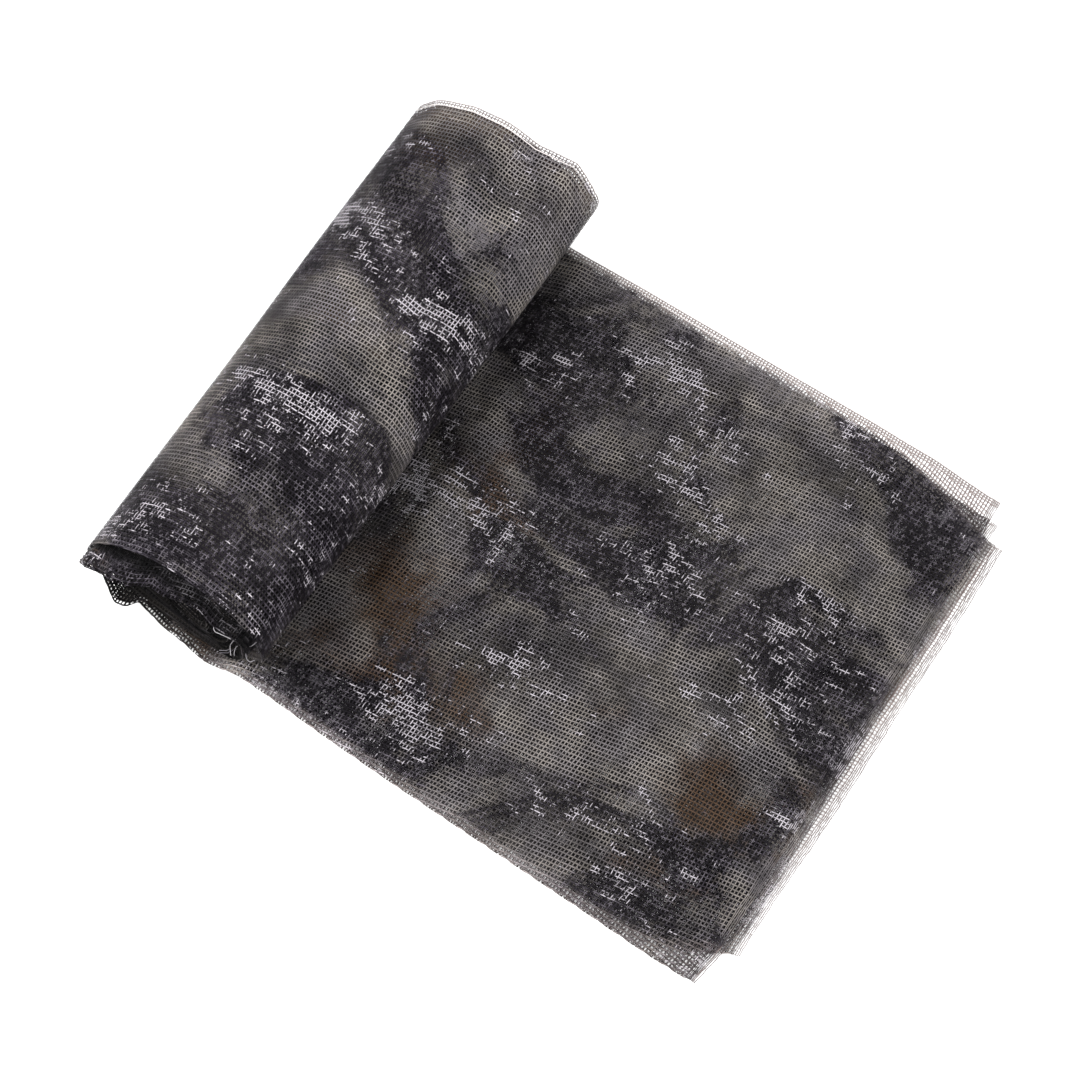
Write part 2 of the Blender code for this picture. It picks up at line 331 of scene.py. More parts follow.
def edgesAt(s):
    angle = np.interp(s - panel["loose"], spiral["length"], spiral["angle"])
    flat = readEdges(loose["edges"], (panel["loose"] - s) / mm)
    first = readEdges(wound["edges"], angle)
    deep = innerEdges(angle)
    blend = ramp(angle, *wound["deepFrom"])
    return [
        np.where(s < panel["loose"], f, (1 - blend) * g + blend * h) for f, g, h in zip(flat, first, deep)
    ]


def layerRange(edges, layer):
    near = (edges[0], edges[0], edges[1], edges[1])
    far = (edges[2], edges[3], edges[3], edges[4])
    return np.choose(layer, near), np.choose(layer, far)


def endOf(layer, y):
    table = np.array(loose["ends"], float)
    return np.choose(layer, [np.interp(y / mm, table[:, 0], table[:, i + 1]) * mm for i in range(4)])


def ridgeHeight(x, y):
    # bells across slanting lines, faded at both ends
    total = np.zeros(np.shape(x))
    for nearX, farX, half, height, fromY, toY in np.array(loose["ridges"]) * mm:
        line = nearX + (farX - nearX) * y / panel["layerWidth"]
        fade = softStep((y - fromY) / loose["ridgeFade"] + 0.5)
        fade = fade * softStep((toY - y) / loose["ridgeFade"] + 0.5)
        total += height * np.exp(-(((x - line) / half) ** 2)) * fade
    return total


def looseHeight(x, y, edges, level):
    # each layer lies on the layers below it and comes down softly past their edges
    cover, heights = np.zeros(np.shape(x)), []
    ridge = ridgeHeight(x, y)
    for each, ridgeShare in enumerate(loose["ridgeShare"]):
        heights.append(loose["first"] + loose["gap"] * cover + ridgeShare * ridge)
        layer = np.full(np.shape(x), each)
        near, far = layerRange(edges, layer)
        side = np.minimum(softStep(1 + (y - near) / loose["droop"]), softStep(1 + (far - y) / loose["droop"]))
        cover = cover + side * softStep(1 + (endOf(layer, y) - x) / loose["droop"])
    below = np.clip(np.floor(level), 0, 2).astype(int)
    share = level - below
    return np.choose(below, heights[:3]) * (1 - share) + np.choose(below, heights[1:]) * share


def woundOffset(angle, y, edges, level):
    # how far a layer stands out of the spiral: its place in the stack, the roll's bulges and dents,
    # the flare, the ripples of layers 3 and 4 by their near fold, and the tuck
    a, along = np.radians(angle), math.pi * y / panel["layerWidth"]
    lean = wound["broadLean"] * np.sin(2 * a + 0.6) * np.sin(along / 0.7 + 0.4)
    lean = lean + wound["fineLean"] * np.sin(5 * a + 1.2) * np.cos(along + 0.3)
    for height, around, lengthwise, start in wound["dents"]:
        lean = lean + height * mm * np.sin(around * a + 2 * lengthwise * along + start)
    lean = lean * ramp(1 - np.cos(a), *wound["leanFrom"])
    rightSide = np.maximum(np.cos(a - wound["flareMost"]), 0) ** 2
    flare = wound["flare"] * softStep(y / panel["layerWidth"]) * rightSide
    flare = flare * ramp(angle / 360, *wound["flareTurns"])
    ripple = np.zeros(np.shape(angle))
    for start, stop, waves, height, reach in wound["ripples"]:
        share = np.clip((angle - start) / (stop - start), 0, 1)
        wave = np.sin(math.pi * share) * np.sin(2 * math.pi * waves * share)
        ripple += height * mm * wave * softStep(1 - (y - edges[1]) / (reach * mm))
    ripple = ripple * ramp(level, *wound["rippledFrom"])
    inside = np.maximum(ramp(level, *wound["tuckFrom"]), ramp(angle, *wound["deepFrom"]))
    tuck = wound["tuck"] * ramp(y, *wound["tuckAlong"]) * inside
    tuck = tuck * ramp(np.cos(a - wound["tuckMost"]), *wound["tuckAround"])
    return (1.5 - level) * layerGap(angle) + lean + flare + ripple - tuck


def layerGap(angle):
    return wound["gap"] + (loose["gap"] - wound["gap"]) * ramp(angle, *wound["settled"])


def drift(s):
    # how far across the lengthwise yarns have gone by s: one skew on the loose end, one on the roll
    onLoose, onRoll = np.minimum(s, panel["loose"]), np.maximum(s - panel["loose"], 0)
    return panel["skew"] * onLoose + panel["rollSkew"] * onRoll


def slack(s, w):
    # The mesh is pulled about in its own plane: crosswise yarns lean, by the shear times the
    # distance from the middle, and there are slow waves and quick ones, products of sines of s
    # and w, and a bow across. Across, they fade out at the folds.
    wide = panel["layerWidth"]
    across = np.abs(np.mod(w, 2 * wide) - wide)
    shear = panel["rollShear"] + (panel["shear"] - panel["rollShear"]) * ramp(s, *panel["shearFades"])
    along = give["slowAlong"] * np.sin(31 * s + 21 * w) * np.sin(17 * w + 1.0)
    along += give["quickAlong"] * np.sin(160 * s + 90 * w) * np.sin(120 * w - 40 * s)
    aside = give["slowAcross"] * np.sin(27 * s - 13 * w + 2.0)
    aside -= give["bowAcross"] * np.sin(28.6 * across - 2.002)
    aside += give["quickAcross"] * np.sin(140 * s + 2.1) * np.sin(110 * w + 30 * s)
    fade = np.sin(math.pi * w / wide) ** 2
    return s - shear * (across - wide / 2) + along * mm, w + aside * fade * mm


def place(s, w, lift=0.0):
    # From the flat panel to the folded, wound net. Across, w runs back and forth through the layers
    # with a half round at each fold; along, s runs in from the cut end and then round the spiral.
    wide, fromEnd = panel["layerWidth"], s
    s, w = slack(s, w)
    angle = np.interp(s - panel["loose"], spiral["length"], spiral["angle"])
    isLoose = s < panel["loose"]
    edges = edgesAt(s)
    layer = np.clip(np.floor(w / wide), 0, 3).astype(int)
    c = np.clip(w - layer * wide, 0, wide)
    near, far = layerRange(edges, layer)
    back = layer % 2 == 0  # layers 1 and 3 run from the far side to the near side
    sign = np.where(back, -1.0, 1.0)
    start, stop = np.where(back, far, near), np.where(back, near, far)
    radius = np.where(isLoose, loose["gap"], layerGap(angle)) / 2
    bend = radius * math.pi / 2
    folded, folding = layer > 0, layer < 3  # has a fold where it starts, where it stops
    fromC, toC = np.where(folded, bend, 0), np.where(folding, wide - bend, wide)
    fromY, toY = start + sign * radius * folded, stop - sign * radius * folding
    share = np.clip((c - fromC) / (toC - fromC), 0, 1)
    turnedIn = np.clip(1 - c / bend, 0, 1) * folded * math.pi / 2
    turnedOut = np.clip(1 - (wide - c) / bend, 0, 1) * folding * math.pi / 2
    y = fromY + share * (toY - fromY) + sign * radius * (np.sin(turnedOut) - np.sin(turnedIn))
    level = layer - 0.5 * (1 - np.cos(turnedIn)) + 0.5 * (1 - np.cos(turnedOut))

    station = panel["loose"] - s
    pull = np.clip(1 - fromEnd / loose["stretch"], 0, 1)
    looseX = station + pull * (endOf(layer, y) - panel["loose"] - panel["shear"] * (y - wide / 2))
    looseZ = looseHeight(looseX, y, edges, level) + lift

    out = woundOffset(angle, y, edges, level) - lift
    line = {key: np.interp(angle, spiral["angle"], spiral[key]) for key in ("x", "z", "outX", "outZ")}
    x = np.where(isLoose, looseX, line["x"] + line["outX"] * out)
    z = np.where(isLoose, looseZ, line["z"] + line["outZ"] * out)
    points = np.stack([x + axisX, y + nearY, z + groundZ], -1)
    return points, cover(fromEnd, w, y, looseX, angle, layer, edges)


def cover(s, w, y, looseX, angle, layer, edges):
    # Two shares for each place, painted into the yarns' colour. Painted light is 1 where a layer lies
    # open and less where the layers over it keep the light out, with painted shade under the outer near
    # fold, under the roll and beside it. Painted backlight is 1 where only one layer lies over the
    # ground, and less by three.
    wide, isLoose = panel["layerWidth"], s < panel["loose"]
    plies = 0
    for number in range(4):
        each = np.full(np.shape(y), number)
        near, far = layerRange(edges, each)
        side = softStep(0.5 + (y - near) / shade["border"]) * softStep(0.5 + (far - y) / shade["border"])
        end = softStep(0.5 + (endOf(each, y) - looseX) / shade["border"])
        plies = plies + side * np.where(isLoose, end, 1)
    fromEdge = np.minimum(w - layer * wide, (layer + 1) * wide - w)
    covered = ramp(fromEdge, *shade["covered"]) * ramp(s, *shade["covered"])
    deep = s > outerEnd
    depth = np.where(isLoose, np.choose(layer, shade["loose"]), np.choose(layer, shade["wound"]))
    light = 1 - (1 - np.where(deep, shade["deep"], depth)) * np.where(deep, 1, covered)
    narrow = shade["rimNarrow"]
    reach = shade["rimReach"] * (narrow + (1 - narrow) * ramp(angle, *shade["rimWidens"]))
    rim = ramp((y - edges[0]) / reach, *shade["rimFrom"]) * (layer > 1) * ~isLoose
    belly = ramp(y, *shade["bellyAlong"]) * ramp(angle, *shade["bellyAround"])
    belly = belly * np.where(isLoose, ramp(s - panel["loose"], *shade["bellyUnder"]), 1)
    lee = ramp(looseX, *shade["leeBeside"]) * ramp(y, *shade["leeAlong"]) * isLoose
    # painted shade under the outer near fold, under the roll and beside it
    light = light * (1 - shade["rim"] * rim) * (1 - shade["belly"] * belly) * (1 - shade["lee"] * lee)
    thin = np.maximum(ramp(plies, *shade["single"]), shade["doubleShare"] * ramp(plies, *shade["double"]))
    # painted backlight where one or two layers lie over the pale ground, none under the roll
    paintedBacklight = thin * np.where(isLoose, 1 - belly, shade["rollBacklight"] * (y > wide / 2) * ~deep)
    return {"paintedLight": light, "paintedBacklight": paintedBacklight}


def scatter(i, j, seed):
    # a fixed random number from -1 to 1 for each crossing of yarns i and j
    wave = np.sin(12.9898 * i + 78.233 * j + seed) * 43758.5453
    return 2 * (wave - np.floor(wave)) - 1


def addMesh(name, points, faces, uvs, values):
    # quads from arrays, with the place on the panel as one UV map, the same fitted to a square as a second
    # map named OFBake, and a number for each point under each key
    made = bpy.data.meshes.new(name)
    made.vertices.add(len(points))
    made.vertices.foreach_set("co", points.astype(np.float32).ravel())
    made.loops.add(faces.size)
    made.loops.foreach_set("vertex_index", faces.astype(np.int32).ravel())
    made.polygons.add(len(faces))
    made.polygons.foreach_set("loop_start", np.arange(0, faces.size, 4, dtype=np.int32))
    made.update(calc_edges=True)
    layer = made.uv_layers.new(name="cloth")
    layer.data.foreach_set("uv", uvs[faces.ravel()].astype(np.float32).ravel())
    low, high = uvs.min(0), uvs.max(0)
    atlas = made.uv_layers.new(name="OFBake")
    atlas.data.foreach_set("uv", ((uvs - low) / (high - low))[faces.ravel()].astype(np.float32).ravel())
    for key, value in values.items():
        made.attributes.new(key, "FLOAT", "POINT").data.foreach_set("value", value.astype(np.float32))
    made.validate()
    piece = bpy.data.objects.new(name, made)
    bpy.context.scene.collection.objects.link(piece)
    return piece


def joinParts(parts):
    # one set of arrays from several, with the faces' numbers moved on
    start, faces = 0, []
    for part in parts:
        faces.append(part["faces"] + start)
        start += len(part["points"])
    joined = {key: np.concatenate([part[key] for part in parts]) for key in parts[0] if key != "faces"}
    joined["faces"] = np.concatenate(faces)
    return joined


def ribbonFaces(count, steps, kept):
    # quads between the two sides of each ribbon: points are numbered ribbon, step, side
    number, step = np.meshgrid(np.arange(count), np.arange(steps - 1), indexing="ij")
    first = ((number * steps + step) * 2)[kept]
    return np.stack([first, first + 2, first + 3, first + 1], -1)


def dropUnused(part):
    # only the points that faces use, numbered anew
    used, faces = np.unique(part["faces"], return_inverse=True)
    kept = {key: value[used] for key, value in part.items() if key != "faces"}
    kept["faces"] = faces.reshape(part["faces"].shape)
    return kept


def ribbon(s, w, lift, crosswise, faces, undyed=0.0):
    # a set of ribbons: the last axis of s, w and lift holds a ribbon's two sides
    s, w, lift = np.broadcast_arrays(s, w, lift)
    points, light = place(s, w, lift)
    return {
        "points": points.reshape(-1, 3),
        "uvs": np.stack([s, w], -1).reshape(-1, 2),
        "across": np.broadcast_to([-1.0, 1.0], s.shape).reshape(-1),
        "crosswise": np.full(s.size, float(crosswise)),
        "paintedLight": light["paintedLight"].reshape(-1),
        "paintedBacklight": light["paintedBacklight"].reshape(-1),
        "undyed": np.broadcast_to(undyed, s.shape).reshape(-1),
        "faces": faces,
    }


def border(fromS, toS):
    # the few lengthwise yarns along the first free edge, each with a top and an underside
    s = np.append(np.arange(fromS, toS, panel["pitchAlong"]), toS)
    faces = ribbonFaces(1, len(s), ...).reshape(-1, 4)
    share = np.interp(s / mm, *panel["undyedShare"])[:, None]
    parts = []
    for offset, width, undyed in panel["border"]:
        middle = offset + 0.1 * np.sin(900 * s + offset)
        w = (middle[:, None] + np.array([0.5, -0.5]) * width) * mm
        sides = np.broadcast_to(s[:, None], w.shape)
        for lift in (panel["borderHalf"], -panel["borderHalf"]):
            parts.append(ribbon(sides[None], w[None], lift, 0, faces, undyed * share))
    return joinParts(parts)


def halfYarn(s, pitch, worn, unevenness):
    # half a yarn's width: narrower by the cut end, down to the worn share, and a little uneven
    worn = worn + (1 - worn) * softStep(s / panel["frayed"] - 0.3)
    return pitch * panel["yarnShare"] / 2 * worn * (1 + panel["uneven"] * unevenness)


def crosswiseYarns(columns, rows, s, fromW, toW):
    # one at each s: its points lie where it crosses the lengthwise yarns
    i, j, s = columns[:, None], rows[None, :], s[:, None]
    pitch = panel["pitchAcross"]
    w = j * pitch + drift(s)
    middle = (w[:, 1:] + w[:, :-1]) / 2
    kept = (middle > fromW - pitch / 2) & (middle < toW + pitch / 2)
    half = halfYarn(s, panel["pitchAlong"], panel["worn"][1], scatter(i, j, seeds["crossWidth"]))
    s = s + panel["stray"] * scatter(i, j, seeds["crossPlace"])
    sides = s[..., None] + np.array([-1, 1]) * half[..., None]
    lift = panel["weave"] * (1 - 2 * ((i + j) % 2))
    faces = ribbonFaces(len(columns), len(rows), kept)
    return ribbon(sides, np.clip(w, fromW, toW)[..., None], lift[..., None], 1, faces)


def lengthwiseYarns(columns, rows, s, fromW, toW):
    # they drift across by the skew, and are lost from the cut end by a random length
    pitch, atCut = panel["pitchAlong"], s[0] == 0
    before, after = s[0] - pitch * (0.1 if atCut else 0.5), min(s[-1] + pitch * 0.5, panel["length"])
    i, j, s = columns[None, :], rows[:, None], np.concatenate([[before], s, [after]])[None, :]
    w = j * panel["pitchAcross"] + drift(s)
    w[:, 1:-1] += panel["stray"] * scatter(i, j, seeds["longPlace"])
    middle = (w[:, 1:] + w[:, :-1]) / 2
    cut = panel["frayed"] * np.abs(scatter(3, j, seeds["frayed"])) ** 0.6
    inside = panel["borderReach"] if fromW == 0 else 0.0
    kept = (middle > fromW + inside) & (middle < toW) & (s[:, 1:] > cut)
    unevenness = scatter(j, np.arange(s.size)[None, :], seeds["longWidth"])
    half = halfYarn(s, panel["pitchAcross"], panel["worn"][0], unevenness)
    sides = np.clip(w[..., None] + np.array([1, -1]) * half[..., None], fromW, toW)
    lift = np.pad(panel["weave"] * (2 * ((i + j) % 2) - 1), ((0, 0), (1, 1)))
    return ribbon(s[..., None], sides, lift[..., None], 0, ribbonFaces(len(rows), s.size, kept))


def yarns(fromS, toS, fromW, toW):
    # Crosswise yarns lie at even steps of s, half as far apart by the cut end, and lengthwise ones at
    # even steps of w. Each passes over one crossing and under the next. Segments outside the range
    # are dropped, and yarns are clipped at its edges.
    p, q = panel["pitchAlong"], panel["pitchAcross"]
    first = -2 if fromS == 0 else math.ceil(fromS / p)
    columns = np.arange(first, math.ceil(toS / p))
    least, most = sorted((-drift(fromS), -drift(toS)))
    rows = np.arange(math.floor((fromW + least) / q) - 1, math.ceil((toW + most) / q) + 2)
    s = np.where(columns < 2, (columns + 2) * p / 2, columns * p)
    parts = [make(columns, rows, s, fromW, toW) for make in (crosswiseYarns, lengthwiseYarns)]
    if fromW == 0:
        parts.append(border(fromS, toS))
    return dropUnused(joinParts(parts))


def makeNetting(name, ranges):
    # a piece of open mesh over some ranges of the panel, and the flat width and length that they have
    part = joinParts([yarns(*each) for each in ranges])
    values = {key: part[key] for key in ("across", "crosswise", "paintedLight", "paintedBacklight", "undyed")}
    piece = addMesh(name, part["points"], part["faces"], part["uvs"], values)
    length = max(each[1] for each in ranges) - min(each[0] for each in ranges)
    width = sum(each[3] - each[2] for each in ranges)
    return piece, (width, length)


deeper = {
    "strip": 11.4 * mm,  # of open mesh at both sides of each layer, beside its closed sheet
    "overlap": 1 * mm,  # of the two
    "lead": 20 * mm,  # how far the closed sheet runs on under the outer turn
    "rows": 520,
    "margin": (0, 4, 10, 20, 40, 80),  # its columns, from both sides, in parts of its width
    "parts": 332,
    "paintedShade": 0.6,  # painted shade: how much darker it is drawn, inside the roll
}

wide = panel["layerWidth"]
pieces = {
    "loose_lower_layers": [(0, panel["loose"], 0, 2 * wide)],
    "loose_upper_layers": [(0, panel["loose"], 2 * wide, 4 * wide)],
    "roll_outer_layers": [(panel["loose"], outerEnd, 0, 2 * wide)],
    "roll_second_layers": [(panel["loose"], outerEnd, 2 * wide, 4 * wide)],
}
strip = deeper["strip"]
foldLines = np.arange(5) * wide
pieces["roll_deeper_edges"] = [
    (outerEnd, panel["length"], max(0, line - strip), min(4 * wide, line + strip)) for line in foldLines
]
netting = {}
for name, ranges in pieces.items():
    netting[name] = makeNetting(name, ranges)
    print(name, "has", len(netting[name][0].data.polygons), "quads")


def makeDeeperTurns(name):
    # the deeper turns between their open strips: a plain grid over s and w for each layer
    s = np.linspace(outerEnd - deeper["lead"], panel["length"] - deeper["overlap"], deeper["rows"])
    near = np.array(deeper["margin"])
    far = deeper["parts"] - near[::-1]
    c = np.concatenate([near, np.linspace(near[-1], far[0], 4)[1:-1], far]) / deeper["parts"]
    start = deeper["strip"] - deeper["overlap"]
    span = wide - 2 * start
    parts = []
    for layer in range(4):
        sGrid, wGrid = np.meshgrid(s, layer * wide + start + c * span, indexing="ij")
        rows, columns = sGrid.shape
        i, j = np.meshgrid(np.arange(rows - 1), np.arange(columns - 1), indexing="ij")
        first = (i * columns + j).ravel()
        parts.append(
            {
                "points": place(sGrid, wGrid)[0].reshape(-1, 3),
                "uvs": np.stack([sGrid, wGrid], -1).reshape(-1, 2),
                "faces": np.stack([first, first + columns, first + columns + 1, first + 1], -1),
            }
        )
    part = joinParts(parts)
    piece = addMesh(name, part["points"], part["faces"], part["uvs"], {})
    return piece, (4 * span, s[-1] - s[0])


deeperTurns, deeperFlat = makeDeeperTurns("roll_deeper_turns")
print("deeper turns have", len(deeperTurns.data.polygons), "quads")

threads = {
    "half": 0.168 * mm,  # of a thread's width
    "steps": 6,  # from one point to the next
    "bright": (0.50, 0.48, 0.50, 1),
    "dim": (0.12, 0.11, 0.125, 1),
    "lines": (  # x from the roll's axis, y from the near edge, z, in millimetres
        ((24, 17, 44), (26.7, 11, 42), (32.5, 11.9, 42.4), (39.2, 12.9, 42)),
        ((39.2, 12.9, 42), (44.9, 13.3, 41.6), (50.5, 14.2, 42), (52.5, 20, 42)),
        ((41.5, 17, 42), (39.8, 10, 42), (42, 7.1, 42.3), (44.5, 4.3, 41.8)),
        ((46.1, 5.4, 42), (44.7, 7.3, 42), (43.9, 9.8, 42.3), (44.3, 11.6, 42), (45.7, 12.8, 41.8)),
        (
            (45.7, 12.8, 41.8),
            (48.1, 12.5, 42),
            (50.3, 11, 42),
            (52.9, 8, 41.7),
            (56, 7.2, 42),
            (58, 10.2, 42),
        ),
        ((29.5, 6.9, 18), (31.7, 8, 18.5), (34.1, 9.7, 18), (35.7, 15, 18)),
        ((30.5, 5.5, 18), (32.7, 7, 18.3), (35.1, 8.5, 18), (37.7, 14, 18)),
    ),
}


def makeThreads(name):
    # loose ends of yarn at the roll's near end: square tubes along lines rounded by a mean of five
    # points, closed at both ends
    parts = []
    for line in threads["lines"]:
        knots = np.array(line, float) * mm
        at = np.linspace(0, len(knots) - 1, (len(knots) - 1) * threads["steps"] + 1)
        straight = np.stack([np.interp(at, np.arange(len(knots)), knots[:, i]) for i in range(3)], -1)
        wider = np.concatenate([straight[:1], straight[:1], straight, straight[-1:], straight[-1:]])
        middle = sum(wider[i : i + len(at)] for i in range(5)) / 5
        along = np.gradient(middle, axis=0)
        side = np.cross(along, [0.2, 0.1, 1.0])  # no thread runs that way
        side /= np.linalg.norm(side, axis=1)[:, None]
        above = np.cross(side, along)
        above /= np.linalg.norm(above, axis=1)[:, None]
        corners = [side + above, above - side, -side - above, side - above]
        ring = np.stack([middle + corner * threads["half"] for corner in corners], 1)
        step, corner = np.meshgrid(np.arange(len(at) - 1), np.arange(4), indexing="ij")
        first, other = (step * 4 + corner).ravel(), (step * 4 + (corner + 1) % 4).ravel()
        faces = np.stack([first, other, other + 4, first + 4], -1)
        last = (len(at) - 1) * 4
        ends = np.array([[3, 2, 1, 0], [last, last + 1, last + 2, last + 3]])
        uvs = np.stack(np.broadcast_arrays(at[:, None], np.arange(4) + 4.0 * len(parts)), -1)
        parts.append(
            {
                "points": (ring + np.array([axisX, nearY, groundZ])).reshape(-1, 3),
                "uvs": uvs.reshape(-1, 2),
                "faces": np.concatenate([faces, ends]),
            }
        )
    part = joinParts(parts)
    return addMesh(name, part["points"], part["faces"], part["uvs"], {})


looseThreads = makeThreads("frayed_threads")
print("threads have", len(looseThreads.data.polygons), "quads")


class Wire:
    # a shader socket that adds Math nodes when it is used in plain arithmetic
    def __init__(self, tree, socket=None):
        self.tree, self.socket = tree, socket

    def node(self, kind, settings, inputs, output=0):
        made = self.tree.nodes.new(kind)
        for key, value in settings.items():
            setattr(made, key, value)
        for key, value in inputs.items():
            if isinstance(value, Wire):
                self.tree.links.new(value.socket, made.inputs[key])
            else:
                made.inputs[key].default_value = value
        return Wire(self.tree, made.outputs[output])

    def math(self, operation, *values):
        return self.node("ShaderNodeMath", {"operation": operation}, dict(enumerate(values)))

    def __add__(self, other):
        return self.math("ADD", self, other)

    def __sub__(self, other):
        return self.math("SUBTRACT", self, other)

    def __rsub__(self, other):
        return self.math("SUBTRACT", other, self)

    def __mul__(self, other):
        return self.math("MULTIPLY", self, other)

    def __truediv__(self, other):
        return self.math("DIVIDE", self, other)

    __radd__, __rmul__ = __add__, __mul__

    def rounded(self):
        # down to a whole number
        return self.math("FLOOR", self)

    def parts(self, count):
        # a vector's first few numbers
        split = self.node("ShaderNodeSeparateXYZ", {}, {0: self}).socket.node
        return [Wire(self.tree, split.outputs[i]) for i in range(count)]

    def rise(self, low, high):
        # a soft step from 0 at low to 1 at high
        settings = {"interpolation_type": "SMOOTHSTEP"}
        return self.node("ShaderNodeMapRange", settings, {0: self, 1: low, 2: high, 3: 0.0, 4: 1.0})

    def blend(self, first, second):
        # the first colour where this is 0, the second where it is 1
        return self.node("ShaderNodeMix", {"data_type": "RGBA"}, {0: self, 6: first, 7: second}, 2)


finish = {
    "paleWarm": (0.195, 0.175, 0.161, 1),
    "paleGrey": (0.134, 0.122, 0.128, 1),
    "dark": (0.0075, 0.0060, 0.0085, 1),
    "darkLifted": (0.024, 0.020, 0.027, 1),
    "speck": (0.115, 0.103, 0.120, 1),
    "brown": (0.066, 0.040, 0.025, 1),
    "fleck": (0.355, 0.33, 0.36, 1),
    # painted backlight, single yarns on white paper with light coming through them: crosswise and lengthwise
    "paintedBacklight": (0.20, 0.162, 0.155, 1),
    "paintedBacklightAlong": (0.38, 0.325, 0.31, 1),
    "undyed": (0.62, 0.57, 0.56, 1),
    # painted shade: the closed sheet's holes, where the roll's dark inside would show
    "paintedHoleShade": (0.003, 0.003, 0.003, 1),
    # how much of the painted backlight shows at most
    "paintedBacklightMost": 0.8,
    "sides": 0.14,  # painted shade: how light a yarn is drawn at its sides
    "crownHighlight": 0.98,  # painted highlight: and how much lighter along its middle
    "roughness": 0.5,
    "gloss": 0.06,
}

# for each noise: features for each metre along and across, turn, shift, detail, roughness, warp
mottle = {
    "grain": ((420, 300), 0, (1, 2), 2),
    "smudge": ((26, 34), 20, (3.1, 0.7), 4, 0.6),
    "cloud": ((15, 21), -30, (6.4, 4.9), 4, 0.6),
    "patch": ((6.5, 9.5), 35, (5.3, 2.2), 5, 0.62, 0.7),
    "lifted": ((38, 60), 0, (7.7, 1.2), 3, 0.6),
    "brown": ((5, 7), 0, (2.9, 4.4), 4, 0.6),
    "broad": ((12, 22), 12, (2.5, 6.1), 3, 0.5),
    "fine": ((80, 150), 0, (4.5, 1.1), 2, 0.5),
}

# where each tone of the print starts and where it is full
tones = {
    "warm": (0.36, 0.66),
    "cloud": (0.30, 0.62),
    "dark": (0.44, 0.57),
    "lifted": (0.42, 0.72),
    "speck": (0.85, 1.55),
    "brown": (0.57, 0.70),
    "fleck": (2.2, 2.44),
}


def noise(cloth, scale, spin, shift, detail=3.0, rough=0.55, warp=0.0):
    # noise over the flat panel: scale is features for each metre along and across
    turn = (0, 0, math.radians(spin))
    inputs = {"Vector": cloth, "Location": (*shift, 0), "Rotation": turn, "Scale": (*scale, 1)}
    moved = cloth.node("ShaderNodeMapping", {}, inputs)
    inputs = {"Vector": moved, "Scale": 1.0, "Detail": detail, "Roughness": rough, "Distortion": warp}
    return cloth.node("ShaderNodeTexNoise", {"noise_dimensions": "2D"}, inputs)


def cellDraw(column, row, columns, rows, seed):
    # one random number for each stretch of yarn, so many columns and rows long
    cells = [(place01 / count + 0.5).rounded() for place01, count in ((column, columns), (row, rows))]
    cell = column.node("ShaderNodeCombineXYZ", {}, {0: cells[0], 1: cells[1], 2: seed})
    return column.node("ShaderNodeTexWhiteNoise", {"noise_dimensions": "3D"}, {"Vector": cell}, 0)


def shaded(colour, amount):
    # a colour times a number
    grey = colour.node("ShaderNodeCombineXYZ", {}, {0: amount, 1: amount, 2: amount})
    settings = {"data_type": "RGBA", "blend_type": "MULTIPLY"}
    return colour.node("ShaderNodeMix", settings, {0: 1.0, 6: colour, 7: grey}, 2)


def gridPlace(s, w):
    # how many yarns along and across a place lies, with the same drift as the mesh has
    onRoll = s.math("MAXIMUM", s - panel["loose"], 0.0)
    drifted = (s - onRoll) * panel["skew"] + onRoll * panel["rollSkew"]
    return s / panel["pitchAlong"], (w - drifted) / panel["pitchAcross"]


def printColour(cloth, crosswise, middle):
    # A generic mottle: pale ground, large dark patches with ragged edges and fine specks, dull brown
    # patches, and pale flecks where the dye has missed short stretches along a yarn's middle.
    column, row = gridPlace(*cloth.parts(2))
    lengthwise = 1 - crosswise
    draw = crosswise * cellDraw(column, row, 1, 1, 8) + lengthwise * cellDraw(column, row, 2, 1, 3)
    yarn = crosswise * cellDraw(column, row, 1, 90, 5) + lengthwise * cellDraw(column, row, 90, 1, 6)
    short = cellDraw(column + crosswise * 0.25, row + lengthwise * 0.25, 1, 1, 2)
    drawn = {key: noise(cloth, *values) for key, values in mottle.items()}
    grain = drawn["grain"]

    ground = drawn["smudge"].rise(*tones["warm"]).blend(finish["paleGrey"], finish["paleWarm"])
    ground = shaded(ground, 0.36 + 0.78 * drawn["cloud"].rise(*tones["cloud"]))
    colour = drawn["brown"].rise(*tones["brown"]).blend(ground, finish["brown"])

    patch = drawn["patch"] + (grain - 0.5) * 0.12
    dark = (patch + (draw - 0.5) * 0.03).rise(*tones["dark"])
    lifted = drawn["lifted"].rise(*tones["lifted"])
    darkTone = lifted.blend(finish["dark"], finish["darkLifted"])
    specks = (short + lifted * 0.35 + grain * 0.8).rise(*tones["speck"])
    darkTone = (specks * middle.rise(0.1, 0.9) * 0.7).blend(darkTone, finish["speck"])
    colour = dark.blend(colour, darkTone)

    fleck = drawn["broad"] * 1.85 + drawn["fine"] * 1.35 + draw * 0.38 + dark * 0.22
    fleck = fleck.rise(*tones["fleck"]) * middle.rise(0.25, 0.85)
    colour = fleck.blend(colour, finish["fleck"])
    return shaded(colour, 0.48 + grain * 0.40 + draw * 0.34 + yarn * 0.30)


def startMaterial(name):
    # a softly matt material, its shader, and the place on the panel
    made = bpy.data.materials.new(name)
    made.use_nodes = True
    shader = made.node_tree.nodes["Principled BSDF"]
    shader.inputs["Roughness"].default_value = finish["roughness"]
    shader.inputs["Specular IOR Level"].default_value = finish["gloss"]
    start = Wire(made.node_tree)
    cloth = start.node("ShaderNodeUVMap", {"uv_map": "cloth"}, {})
    return made, shader, cloth


